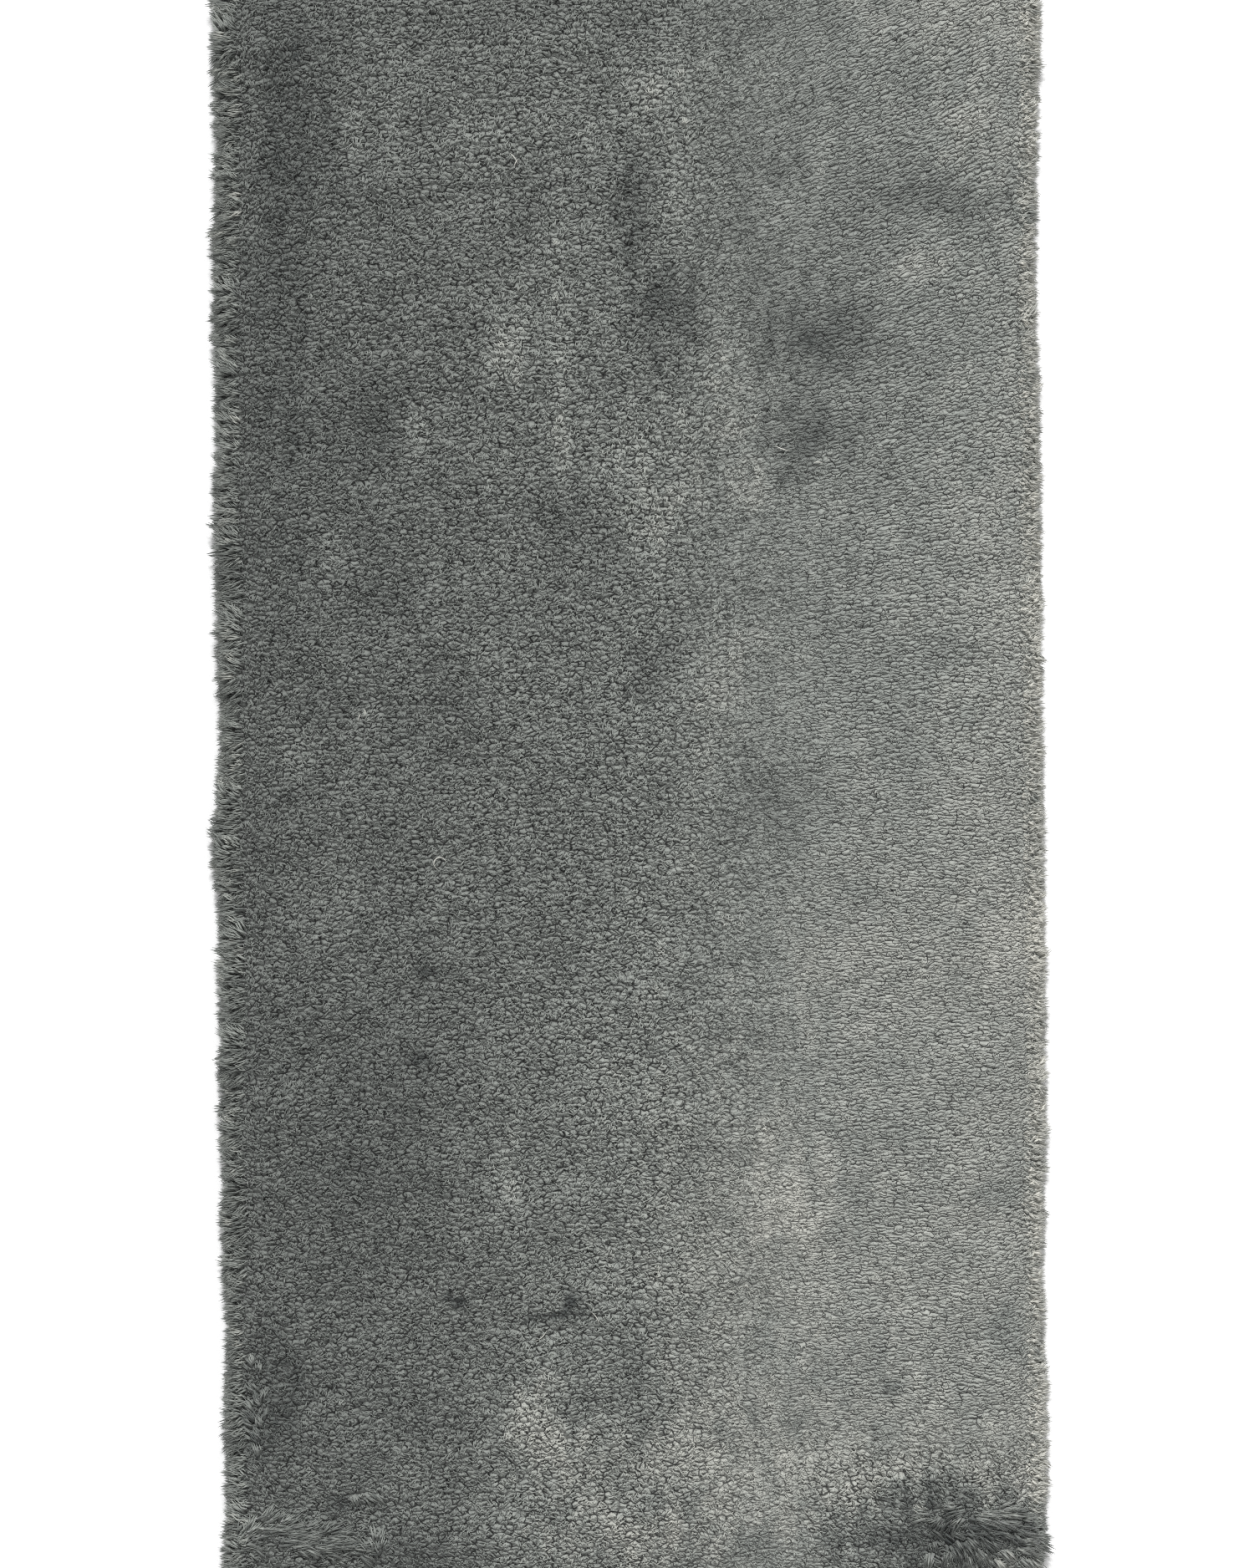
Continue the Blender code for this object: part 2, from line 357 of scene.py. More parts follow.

# The foot of the pile. Polyester microfibre yarn stands so close on the cloth that its lower part mats into
# one soft bed, which fills the space between the tufts. It is brushed one way here and another way there:
# where it lies over it looks pale, and where it stands up one looks down into it and it looks dark. This
# light and shade is painted into the yarn's colour, and so is a painted light that is darker on the left and
# paler on the right.
Brushed = namedtuple("Brushed", "x y wide long turn heading tilt pale")
# In the last column, painted light and shade: how much paler a brushed place is drawn; below zero it is drawn
# darker.
BRUSHED_ROWS = (  # millimetres from the rug's middle, degrees, and the share by which it is paler
    (235, 500, 230, 330, 0, 0, 40, -0.11),
    (70, -450, 190, 330, 0, 20, 42, 0.11),
    (-335, 480, 36, 330, 0, 60, 34, -0.08),
    (-300, 650, 50, 130, 0, 50, 36, -0.06),
    (-250, 350, 72, 60, 0, 30, 34, -0.10),
    (-240, 205, 48, 70, 0, 50, 36, -0.06),
    (8, 560, 30, 105, -4, 70, 33, -0.19),
    (40, 452, 44, 62, 0, 40, 33, -0.21),
    (-4, 436, 12, 11, 0, 40, 28, -0.14),
    (22, 108, 40, 38, 0, 60, 36, -0.13),
    (188, 432, 72, 48, 0, 20, 33, -0.22),
    (180, 335, 64, 48, 0, 10, 33, -0.22),
    (312, 565, 92, 30, -4, 0, 34, -0.20),
    (152, 598, 48, 28, 0, 30, 34, -0.12),
    (-92, 565, 36, 56, 0, 60, 36, -0.08),
    (135, -15, 50, 54, 0, 20, 36, -0.12),
    (-45, 225, 56, 105, 12, 70, 37, -0.09),
    (-178, 60, 52, 74, 0, 50, 37, -0.06),
    (-235, -330, 108, 212, 0, 45, 36, -0.07),
    (-345, -600, 40, 105, 0, 110, 34, -0.10),
    (-200, -640, 80, 100, 0, 60, 37, -0.06),
    (-204, -264, 14, 8, 0, 20, 26, -0.45),
    (-190, -182, 26, 6, -12, 10, 30, -0.30),
    (-170, -500, 17, 6, -10, 0, 26, -0.38),
    (-63, -502, 10, 11, 0, 30, 24, -0.60),
    (-74, -517, 40, 7, 8, 10, 30, -0.36),
    (255, -588, 12, 7, 0, 10, 30, -0.30),
    (38, 136, 10, 6, 0, 10, 30, -0.25),
    (-8, -215, 11, 7, 0, 0, 28, -0.20),
    (0, -560, 24, 70, 0, 90, 36, -0.15),
    (-70, -100, 70, 34, 0, 30, 37, -0.05),
    (360, -532, 31, 40, 0, 0, 36, -0.15),
    (350, -400, 50, 18, 0, 0, 37, -0.09),
    (305, -732, 124, 52, 4, -30, 32, -0.42),
    (-285, -697, 22, 14, 0, 60, 32, -0.22),
    (285, -690, 40, 30, 0, -70, 32, -0.18),
    (40, 745, 270, 32, 0, 60, 37, -0.09),
    (-30, -735, 150, 42, 0, 45, 46, 0.14),
    (-215, -745, 70, 30, 0, 45, 34, -0.10),
    (-112, 425, 30, 52, 0, 105, 51, 0.20),
    (-64, 418, 14, 54, 0, 95, 51, 0.14),
    (-70, 520, 18, 68, -8, 80, 49, 0.09),
    (-66, 330, 16, 54, 6, 80, 51, 0.16),
    (18, 262, 28, 54, 0, 80, 48, 0.08),
    (48, 268, 22, 60, -28, 75, 49, 0.09),
    (30, 320, 92, 80, 0, 80, 48, 0.09),
    (115, 302, 30, 50, 14, 80, 48, 0.09),
    (100, 385, 30, 72, 0, 80, 49, 0.13),
    (30, 662, 40, 48, 0, 75, 49, 0.13),
    (50, 575, 21, 70, 12, 100, 49, 0.12),
    (-265, 640, 18, 50, 0, 75, 51, 0.18),
    (-225, 660, 26, 68, 0, 60, 46, 0.08),
    (-206, 342, 21, 40, 12, 70, 49, 0.14),
    (-150, 620, 60, 80, 0, 60, 44, 0.06),
    (-38, 625, 14, 27, 0, 80, 50, 0.11),
    (-290, 235, 19, 40, 0, 60, 46, 0.10),
    (-255, 68, 15, 13, 0, 30, 51, 0.20),
    (-325, 30, 28, 38, 0, 130, 48, 0.10),
    (-300, -120, 60, 52, 0, 50, 46, 0.08),
    (85, 85, 42, 103, -18, 50, 48, 0.10),
    (150, 560, 17, 56, -35, 60, 50, 0.12),
    (190, 610, 14, 40, 0, 80, 50, 0.13),
    (192, 318, 12, 11, 0, 30, 52, 0.22),
    (278, 498, 40, 29, 0, 10, 50, 0.14),
    (325, 645, 35, 36, 0, 0, 50, 0.14),
    (300, 740, 120, 40, 0, 0, 46, 0.10),
    (-120, -375, 24, 50, 0, 70, 49, 0.14),
    (-96, -625, 50, 85, 0, 95, 50, 0.18),
    (148, -400, 54, 63, 0, 20, 50, 0.16),
    (225, -175, 97, 83, 0, 5, 50, 0.08),
    (358, -150, 57, 72, 0, 0, 52, 0.12),
    (-345, -725, 60, 40, 20, 200, 53, 0.08),
    (50, -670, 330, 95, 0, 20, 41, 0.13),
    (260, 95, 95, 90, 0, 5, 40, -0.08),
    (40, -95, 55, 85, 0, 20, 42, 0.06),
    (-50, -285, 60, 80, 0, 30, 42, 0.05),
    (180, -475, 210, 90, 0, 10, 41, 0.04),
)
BRUSHED = [Brushed(*row) for row in BRUSHED_ROWS]
STREAK_WIDE, STREAK_LONG, STREAKED = 11, 34, 0.6  # the streaks of a brushed place, in millimetres
RAGGED_WIDE, RAGGED_FINE = (0.024, 0.5), (0.007, 0.3)  # and how ragged its outline is
RAGGED, BRUSHED_SPREAD, BRUSHED_REACH, PLACE_SEED = 0.8, 1.15, 1.4, 0.01
HEADING_LEFT, HEADING_RIGHT = 42.0, 0.0  # degrees
HEADING_FROM, HEADING_OVER = 0.60, 0.22  # of the rug's width, where the lie of the pile turns
TILT = 41.0
# Painted light: the pile is drawn darker on the left and paler on the right.
PALE_LEFT, PALE_RIGHT = 0.235, 0.62
Wave = namedtuple("Wave", "size amount seed")  # of the noise that makes the pile uneven
HEADING_WAVES = (Wave(0.045, 30, 2.0), Wave(0.014, 24, 3.0))
BRUSHED_WAVES = (Wave(0.02, 20, 6.0),)
TILT_WAVES = (Wave(0.03, 8, 9.0),)
PALE_WAVES = (Wave(0.050, 0.06, 4.0), Wave(0.014, 0.05, 5.0))
MAT_FROM, MAT_OVER = 0.50, 0.30  # of the rug's width, where wear has felted it
UNFELTED_X, UNFELTED_Y, UNFELTED_OVER = 0.12, -0.60, 0.08  # the near right corner
UNMATTED, MATTED = 0.64, 0.34  # of a tuft's full length
FALL_OVER = 0.036  # from where the pile starts to fall outwards
FALL_TILT = 10
FALL_WAVES = (Wave(0.016, 0.9, 31.0), Wave(0.008, 0.5, 32.0))
BED_DEPTH = 0.0052  # below the tips
BED_CELL = 0.0058
BED_INSET = 0.009
BED_WAVES = (Wave(0.030, 0.0016, 21.0), Wave(0.012, 0.0009, 22.0))
# How far out its side reaches, and at what height.
BED_SIDES = ((0.0040, 0.0195), (0.0085, 0.0165), (0.0118, 0.0125), (0.0125, 0.0070), (0.0095, 0.0030))
BED_WIDEST = max(reach for reach, height in BED_SIDES)
BED_SIDE_WAVES = (Wave(0.012, 0.0012, 23.0),)
BED_BULGE = {"left": 1.0, "right": 1.50, "end": 1.0}
RimRun = namedtuple("RimRun", "y left right")
RIM_RUN_ROWS = (  # millimetres, from the far end to the near: how much further out each long side is there
    (800, 3.0, 3.0),
    (700, 2.5, 2.5),
    (640, 0.0, 0.0),
    (580, 1.0, -3.0),
    (500, 2.5, -5.5),
    (450, 1.5, -5.5),
    (395, -2.5, -3.0),
    (350, 0.0, 0.5),
    (260, 2.5, 1.0),
    (165, 1.5, 2.0),
    (65, -4.5, 0.5),
    (0, 2.5, 1.0),
    (-75, 3.5, 0.5),
    (-112, -1.5, 1.0),
    (-150, 1.0, 1.0),
    (-240, 2.0, 0.5),
    (-330, -0.5, 1.0),
    (-370, -2.5, 0.5),
    (-435, 3.0, -2.0),
    (-470, 1.5, -5.0),
    (-500, -8.5, -1.0),
    (-545, -8.0, -2.5),
    (-590, -4.0, 1.5),
    (-655, -5.0, 0.5),
    (-705, -2.5, -0.7),
    (-800, 5.0, -3.5),
)
RIM_RUNS = [RimRun(*row) for row in RIM_RUN_ROWS]
STIR, STIR_SCALE = 0.004, 130.0
SLANT, SLANT_X, SLANT_Y = 0.38, (0.06, 0.40), (0.02, 0.70)  # of the flakes at the far right
# A kind of matting: the sizes of its fibres and flakes, across and along; between which levels the fibres
# shade it, a painted shade in their hollows, and how dark; the narrowest and widest parting; how domed a
# flake is; and how dark its rim and its near end are painted, a painted shade between the flakes and on their
# sides away from the lamp.
Matting = namedtuple("Matting", "fibre flake shade parting dome rim near_end")
CURLED = Matting((0.0031, 0.0032), (0.0068, 0.0042), (0.37, 0.42, 0.40), (0.04, 0.21), 3.0, 0.72, 1.0)
FELTED = Matting((0.0044, 0.0020), (0.0074, 0.0026), (0.33, 0.38, 0.45), (0.02, 0.10), 2.0, 0.95, 0.50)
PARTED_SCALE, PARTED_FROM, PARTED_TO = 120.0, 0.44, 0.60
# The painted shade down in a parting, and the depth of its bump.
PARTING_SHADE, PARTING_DEPTH = 0.10, 0.8
# Where a flake is painted darker, towards its rim and its near end: painted shade.
FLAKE_RIM_SHADE, FLAKE_END_SHADE = (0.45, 0.75), (0.05, 0.50)  # from a flake's middle
RELIEF = 0.0018


def smooth(share):
    share = min(max(share, 0.0), 1.0)
    return share * share * (3 - 2 * share)


def wobble(x, y, size, seed):
    """Smooth noise from about -1 to 1, with bumps of this size."""
    return noise.noise(Vector((x / size, y / size, seed)))


def waves_at(x, y, waves):
    return sum(wave.amount * wobble(x, y, wave.size, wave.seed) for wave in waves)


def share_across(x):
    return (x - cad_low[0]) / (cad_high[0] - cad_low[0])


def matting(x, y):
    """How far wear has felted the pile: 0 on the left, 1 on the right, and 0 in the near right corner."""
    felted = smooth((share_across(x) - MAT_FROM) / MAT_OVER)
    in_corner = smooth((x - UNFELTED_X) / UNFELTED_OVER) * smooth((UNFELTED_Y - y) / UNFELTED_OVER)
    return felted * (1 - in_corner)


def facing_at(degrees):
    return Vector((math.cos(math.radians(degrees)), math.sin(math.radians(degrees))))


def nap(x, y):
    """The pile at (x, y): heading, tilt, how pale it is painted from 0 to 1, and share of full length."""
    side = share_across(x)
    heading = HEADING_LEFT + (HEADING_RIGHT - HEADING_LEFT) * smooth((side - HEADING_FROM) / HEADING_OVER)
    heading += waves_at(x, y, HEADING_WAVES)
    aim = facing_at(heading)
    tilt = TILT + waves_at(x, y, TILT_WAVES)
    pale = PALE_LEFT + (PALE_RIGHT - PALE_LEFT) * side
    pale += waves_at(x, y, PALE_WAVES)
    for place in BRUSHED:
        across, along = x * 1000 - place.x, y * 1000 - place.y
        reach = BRUSHED_REACH * max(place.wide, place.long)
        if abs(across) > reach or abs(along) > reach:
            continue
        c, s = facing_at(place.turn)
        u, v = (across * c + along * s) / place.wide, (along * c - across * s) / place.long
        seed_x, seed_y = place.x * PLACE_SEED, place.y * PLACE_SEED
        ragged = STREAKED * noise.noise(Vector((across / STREAK_WIDE, along / STREAK_LONG, seed_x)))
        for (size, amount), seed in ((RAGGED_WIDE, seed_x), (RAGGED_FINE, seed_y)):
            ragged += amount * wobble(x, y, size, seed)
        share = smooth(BRUSHED_SPREAD - math.hypot(u, v) + RAGGED * ragged)
        if share > 0:
            aim = aim.lerp(facing_at(place.heading + waves_at(x, y, BRUSHED_WAVES)), share)
            tilt += (place.tilt - tilt) * share
            pale += place.pale * share
    falls = (
        (Vector((-1, 0)), x - backing_low.x),
        (Vector((0, -1)), y - backing_low.y),
        (Vector((0, 1)), backing_high.y - y),
    )
    for out, inside in falls:
        share = smooth(1 - inside / FALL_OVER)
        aim = aim.lerp(out + waves_at(x, y, FALL_WAVES) * Vector((-out.y, out.x)), share)
        tilt += FALL_TILT * share
    length = UNMATTED + (MATTED - UNMATTED) * matting(x, y)
    return math.atan2(aim.y, aim.x), math.radians(tilt), min(max(pale, 0.0), 1.0), length


slab_surface = surface_of(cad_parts["pile"])


def side_of(out):
    return "left" if out.x < -0.7 else "right" if out.x > 0.7 else "end"


def rim_run(y, side):
    """How much further out the rim of this side reaches at y, eased between the rows of RIM_RUNS."""
    if side == "end":
        return 0.0
    y = min(max(y * 1000, RIM_RUNS[-1].y), RIM_RUNS[0].y)
    far, near = next(pair for pair in zip(RIM_RUNS, RIM_RUNS[1:]) if y >= pair[1].y)
    share = smooth((y - near.y) / (far.y - near.y))
    return (getattr(near, side) * (1 - share) + getattr(far, side) * share) / 1000


def straight_down(surface, x, y):
    """Where a line down at (x, y) meets this surface, and which way it faces there."""
    return surface.ray_cast(Vector((x, y, 1)), Vector((0, 0, -1)))[:2]


def bed_height(x, y):
    return straight_down(slab_surface, x, y)[0].z - BED_DEPTH + waves_at(x, y, BED_WAVES)


def make_bed():
    """The bed as one closed mesh, and its rim as pairs of a point and the way outwards there."""
    y_low, y_high = backing_low.y + BED_INSET, backing_high.y - BED_INSET
    rows = round((y_high - y_low) / BED_CELL)
    columns = round((cloth_width - 2 * BED_INSET) / BED_CELL)
    points = []
    for row in range(rows + 1):
        y = y_low + (y_high - y_low) * row / rows
        left, right = cloth_edges(y)
        for column in range(columns + 1):
            x = left + BED_INSET + (right - left - 2 * BED_INSET) * column / columns
            points.append((x, y, bed_height(x, y)))

    def at(row, column):
        return row * (columns + 1) + column

    faces = [
        (at(row, column), at(row, column + 1), at(row + 1, column + 1), at(row + 1, column))
        for row in range(rows)
        for column in range(columns)
    ]
    ring = [at(0, column) for column in range(columns)]
    ring += [at(row, columns) for row in range(rows)]
    ring += [at(rows, column) for column in range(columns, 0, -1)]
    ring += [at(row, 0) for row in range(rows, 0, -1)]
    corners = [Vector(points[i]) for i in ring]
    outs = [outward(corners, i) for i in range(len(ring))]
    above = ring
    for reach, height in BED_SIDES:
        below = range(len(points), len(points) + len(ring))
        for corner, out in zip(corners, outs):
            side = side_of(out)
            bulge = reach * BED_BULGE[side] + rim_run(corner.y, side) * reach / BED_WIDEST
            bulge += waves_at(corner.x, corner.y + height * 3, BED_SIDE_WAVES)
            points.append((corner.x + out.x * bulge, corner.y + out.y * bulge, height))
        for i in range(len(ring)):
            j = (i + 1) % len(ring)
            faces.append((above[i], below[i], below[j], above[j]))
        above = below
    faces.append(tuple(reversed(above)))
    mesh = bpy.data.meshes.new("matted_foot")
    mesh.from_pydata(points, [], faces)
    mesh.shade_smooth()
    shades = [nap(x, y)[2] for x, y, z in points]
    mesh.attributes.new("pale", "FLOAT", "POINT").data.foreach_set("value", shades)
    shares = [matting(x, y) for x, y, z in points]
    mesh.attributes.new("felted", "FLOAT", "POINT").data.foreach_set("value", shares)
    return mesh, list(zip(corners, outs))


def yarn_colour(tree, pale):
    """Grey microfibre from its darkest to its palest: cold in the shade and a little warm in the light."""
    tones = node(tree, "ShaderNodeValToRGB", {0: pale})
    tones.color_ramp.elements[0].color = linear("#4d5150")
    tones.color_ramp.elements[1].color = linear("#dbdad1")
    tones.color_ramp.elements.new(0.5).color = linear("#9b9f9a")
    return tones


# Matted microfibre: soft and matt. It is curled on the left and felted into flat flakes on the right, with
# partings between them. Painted shade darkens the hollows between its fibres, the partings, the rims of the
# flakes, and the flakes' near ends, which face away from the lamp. All are drawn as coarse as they show.
matted, tree = new_material("matted_polyester_microfibre")
flat_place = node(tree, "ShaderNodeTexCoord").outputs["Object"]
height = node(tree, "ShaderNodeSeparateXYZ", {0: flat_place}).outputs["Z"]
# The pattern is drawn in towards the rug's middle with height, so that it also runs down the sides.
inwards = (-1 / cad_high[0], -1 / cad_high[1], 0)
drawn_in = node(tree, "ShaderNodeVectorMath", {0: height, 1: inwards, 2: (1, 1, 1)}, operation="MULTIPLY_ADD")
level = node(tree, "ShaderNodeVectorMath", {0: flat_place, 1: drawn_in}, operation="MULTIPLY")
axes = node(tree, "ShaderNodeSeparateXYZ", {0: level})
shares = []
for axis, (low, high) in (("X", SLANT_X), ("Y", SLANT_Y)):
    shares.append(node(tree, "ShaderNodeMapRange", {0: axes.outputs[axis], 1: low, 2: high}))
share = node(tree, "ShaderNodeMath", {0: shares[0], 1: shares[1]}, operation="MULTIPLY")
greatest = -SLANT * (SLANT_X[1] - SLANT_X[0])
slide = node(tree, "ShaderNodeMath", {0: share, 1: greatest}, operation="MULTIPLY")
slanted = node(tree, "ShaderNodeCombineXYZ", {1: slide})
place = node(tree, "ShaderNodeVectorMath", {0: level, 1: slanted}, operation="ADD")
felted = node(tree, "ShaderNodeAttribute", attribute_name="felted").outputs["Fac"]
stir = node(
    tree, "ShaderNodeTexNoise", {"Vector": place, "Scale": STIR_SCALE, "Detail": 1.0}, noise_dimensions="2D"
)
off = node(tree, "ShaderNodeVectorMath", {0: stir.outputs["Color"], 1: (0.5, 0.5, 0.5)}, operation="SUBTRACT")
shift = node(tree, "ShaderNodeVectorMath", {0: off, "Scale": STIR}, operation="SCALE")
stirred = node(tree, "ShaderNodeVectorMath", {0: place, 1: shift}, operation="ADD")
parted = node(
    tree, "ShaderNodeTexNoise", {"Vector": place, "Scale": PARTED_SCALE, "Detail": 1.0}, noise_dimensions="2D"
)
reliefs, shades = [], []
for kind in (CURLED, FELTED):
    fibre_scale = (1 / kind.fibre[0], 1 / kind.fibre[1], 0)
    fibre_place = node(tree, "ShaderNodeVectorMath", {0: stirred, 1: fibre_scale}, operation="MULTIPLY")
    fibres = node(
        tree,
        "ShaderNodeTexNoise",
        {"Vector": fibre_place, "Scale": 1.0, "Detail": 2.0, "Roughness": 0.55, "Distortion": 0.9},
        noise_dimensions="2D",
    )
    flake_scale = (1 / kind.flake[0], 1 / kind.flake[1], 0)
    spot = node(tree, "ShaderNodeVectorMath", {0: stirred, 1: flake_scale}, operation="MULTIPLY")
    flake, flake_rim = (
        node(tree, "ShaderNodeTexVoronoi", {0: spot, "Scale": 1.0}, voronoi_dimensions="2D", feature=feature)
        for feature in ("F1", "DISTANCE_TO_EDGE")
    )
    from_middle, from_rim = flake.outputs["Distance"], flake_rim.outputs["Distance"]
    ahead = node(tree, "ShaderNodeVectorMath", {0: flake.outputs["Position"], 1: spot}, operation="SUBTRACT")
    nearer = node(tree, "ShaderNodeSeparateXYZ", {0: ahead}).outputs["Y"]
    width = node(
        tree,
        "ShaderNodeMapRange",
        {0: parted, 1: PARTED_FROM, 2: PARTED_TO, 3: kind.parting[0], 4: kind.parting[1]},
    )
    parting = node(
        tree,
        "ShaderNodeMapRange",
        {0: from_rim, 1: 0.0, 2: width, 3: 0.0, 4: 1.0},
        interpolation_type="SMOOTHSTEP",
    )
    # Painted shade in the hollows between the fibres.
    fibre_hollow_shade = node(
        tree,
        "ShaderNodeMapRange",
        {0: fibres, 1: kind.shade[0], 2: kind.shade[1], 3: kind.shade[2], 4: 1.0},
        interpolation_type="SMOOTHSTEP",
    )
    # Painted shade down in the partings.
    parting_shade = node(tree, "ShaderNodeMapRange", {0: parting, 3: PARTING_SHADE, 4: 1.0})
    shade = node(tree, "ShaderNodeMath", {0: fibre_hollow_shade, 1: parting_shade}, operation="MULTIPLY")
    # Painted shade: each flake darker at its near end, away from the lamp, and towards its rim.
    for way, (low, high), dark in ((nearer, FLAKE_END_SHADE, kind.near_end), (from_middle, FLAKE_RIM_SHADE, kind.rim)):
        dim = node(tree, "ShaderNodeMapRange", {0: way, 1: low, 2: high, 3: 1.0, 4: dark})
        shade = node(tree, "ShaderNodeMath", {0: shade, 1: dim}, operation="MULTIPLY")
    shades.append(shade)
    relief = fibres
    for raised, amount in ((from_middle, -kind.dome), (parting, PARTING_DEPTH)):
        relief = node(tree, "ShaderNodeMath", {0: raised, 1: amount, 2: relief}, operation="MULTIPLY_ADD")
    reliefs.append(relief)
dim = node(tree, "ShaderNodeMix", {"Factor": felted, 2: shades[0], 3: shades[1]}, data_type="FLOAT")
tone = yarn_colour(tree, node(tree, "ShaderNodeAttribute", attribute_name="pale").outputs["Fac"])
colour = node(tree, "ShaderNodeVectorMath", {0: tone, "Scale": dim}, operation="SCALE")
relief = node(tree, "ShaderNodeMix", {"Factor": felted, 2: reliefs[0], 3: reliefs[1]}, data_type="FLOAT")
bump = node(tree, "ShaderNodeBump", {"Height": relief, "Strength": 1.0, "Distance": RELIEF})
surface = node(
    tree,
    "ShaderNodeBsdfPrincipled",
    {
        "Base Color": colour,
        "Roughness": 0.85,
        "Specular IOR Level": 0.0,
        "Sheen Weight": 0.2,
        "Normal": bump,
    },
)
node(tree, "ShaderNodeOutputMaterial", {"Surface": surface})

bed_mesh, rim = make_bed()
matted_foot = new_object("matted_foot", bed_mesh)
matted_foot.data.materials.append(matted)
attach(matted_foot, "root")
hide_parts("pile")

# The tufts. Soft polyester microfibre yarn, punched through the cloth row by row, then cut. Each opens into a
# few strands, which lie over with the nap so that their points make the face of the rug.
ROW_PITCH = 0.0076
TUFT_PITCH = 0.0088
STITCH_WANDER = 0.0022
TUFT_KINDS = 10
TUFT_LENGTH = 0.0112
STRANDS = 8
STRAND_RADIUS = 0.0016
STRAND_SPREAD = 0.0050
STRAND_CURL = 0.0042
STRAND_SIDES = 3
STRAND_TIPS, STRAND_RADII = (0.75, 1.12), (0.8, 1.2)  # shares of the tuft's length and of the radius
ROOT_BELOW_BED = 0.0030
FIRST_ROW = 0.004  # from the cloth's near edge
PAST_CLOTH = 0.003
SLOPE_LEAN = 0.9  # how far a tuft leans out with the slope of the bed
TILT_SCATTER, HEADING_SCATTER, SHADE_SCATTER = 0.10, 0.28, 0.035
TUFT_LENGTHS = (0.85, 1.12)
PILE_LAYERS = 4
SHADES = 16  # columns of the colour map, one for each shade of the yarn
SHADE_MARGIN = 0.04  # of a column
PALEST = 0.9999  # still in the last column
STREAKS_ROUND, STREAKS_ALONG = 6.0, 3.0  # of a strand


def add_strand(bm, map_layer, rng, root, tip, radius):
    """A closed strand with a few sides, from its root to its point."""
    turn = rng.uniform(0, math.tau)
    face = (tip - root).to_track_quat("Z", "Y").to_matrix()
    low = []
    for i in range(STRAND_SIDES):
        angle = turn + i * math.tau / STRAND_SIDES
        low.append(bm.verts.new(root + face @ Vector((math.cos(angle), math.sin(angle), 0)) * radius))
    end = bm.verts.new(tip)
    faces = [((low[2], low[1], low[0]), ((1, 0), (0.5, 0), (0, 0)))]
    for i in range(STRAND_SIDES):
        j = (i + 1) % STRAND_SIDES
        a, b = i / STRAND_SIDES, (i + 1) / STRAND_SIDES
        faces.append(((low[i], low[j], end), ((a, 0), (b, 0), ((a + b) / 2, 1))))
    for corners, places in faces:
        made = bm.faces.new(corners)
        made.smooth = True
        for loop, place in zip(made.loops, places):
            loop[map_layer].uv = place


def new_tuft(name, seed, strands, length, radius, spread, curl):
    """A tuft that stands on the origin, with its strands opening round it."""
    rng = random.Random(seed)
    bm = bmesh.new()
    map_layer = bm.loops.layers.uv.new("strand")
    for i in range(strands):
        angle = rng.uniform(0, math.tau)
        root = Vector((math.cos(angle), math.sin(angle), 0)) * spread * math.sqrt(rng.uniform(0, 1))
        tip = root + Vector((rng.uniform(-1, 1), rng.uniform(-1, 1), 0)) * curl
        tip.z = length * rng.uniform(*STRAND_TIPS)
        add_strand(bm, map_layer, rng, root, tip, radius * rng.uniform(*STRAND_RADII))
    mesh = bpy.data.meshes.new(name)
    bm.to_mesh(mesh)
    bm.free()
    return bpy.data.objects.new(name, mesh)


def tuft_kinds(name, count, seed, *sizes):
    """A collection of tufts of the same sizes, whose strands open in different ways."""
    kinds = bpy.data.collections.new(f"{name}s")
    for number in range(count):
        kinds.objects.link(new_tuft(f"{name}_{number}", seed + number, *sizes))
    return kinds


tufts = tuft_kinds("tuft", TUFT_KINDS, 100, STRANDS, TUFT_LENGTH, STRAND_RADIUS, STRAND_SPREAD, STRAND_CURL)

# Polyester microfibre yarn: soft, with a little sheen, paler at its cut ends and streaked by its fibres. It
# is painted darker towards its root, a painted shade deep in the pile. The streaks are drawn far coarser than
# the fibres, so that they show.
yarn, tree = new_material("polyester_microfibre_yarn")
place = node(tree, "ShaderNodeSeparateXYZ", {0: node(tree, "ShaderNodeUVMap", uv_map="OFBake")})
steps = node(tree, "ShaderNodeMath", {0: place.outputs["X"], 1: SHADES}, operation="MULTIPLY")
step = node(tree, "ShaderNodeMath", {0: steps}, operation="FLOOR")
around = node(tree, "ShaderNodeMath", {0: steps, 1: step}, operation="SUBTRACT")
shade = node(tree, "ShaderNodeMath", {0: step, 1: SHADES - 1}, operation="DIVIDE")
# Darker towards the root, a painted shade deep in the pile, and paler at the cut end.
root_shade_and_pale_end = node(tree, "ShaderNodeMapRange", {0: place.outputs["Y"], 1: 0.30, 2: 0.95, 3: 0.80, 4: 1.15})
across_fibres = node(tree, "ShaderNodeMath", {0: around, 1: STREAKS_ROUND}, operation="MULTIPLY")
along_fibres = node(tree, "ShaderNodeMath", {0: place.outputs["Y"], 1: STREAKS_ALONG}, operation="MULTIPLY")
fibre_place = node(tree, "ShaderNodeCombineXYZ", {0: across_fibres, 1: along_fibres, 2: step})
fibres = node(tree, "ShaderNodeTexNoise", {"Vector": fibre_place, "Scale": 1.0, "Detail": 2.0})
streak = node(tree, "ShaderNodeMapRange", {0: fibres, 1: 0.3, 2: 0.7, 3: 0.80, 4: 1.20})
dim = node(tree, "ShaderNodeMath", {0: root_shade_and_pale_end, 1: streak}, operation="MULTIPLY")
tone = yarn_colour(tree, shade)
colour = node(tree, "ShaderNodeVectorMath", {0: tone, "Scale": dim}, operation="SCALE")
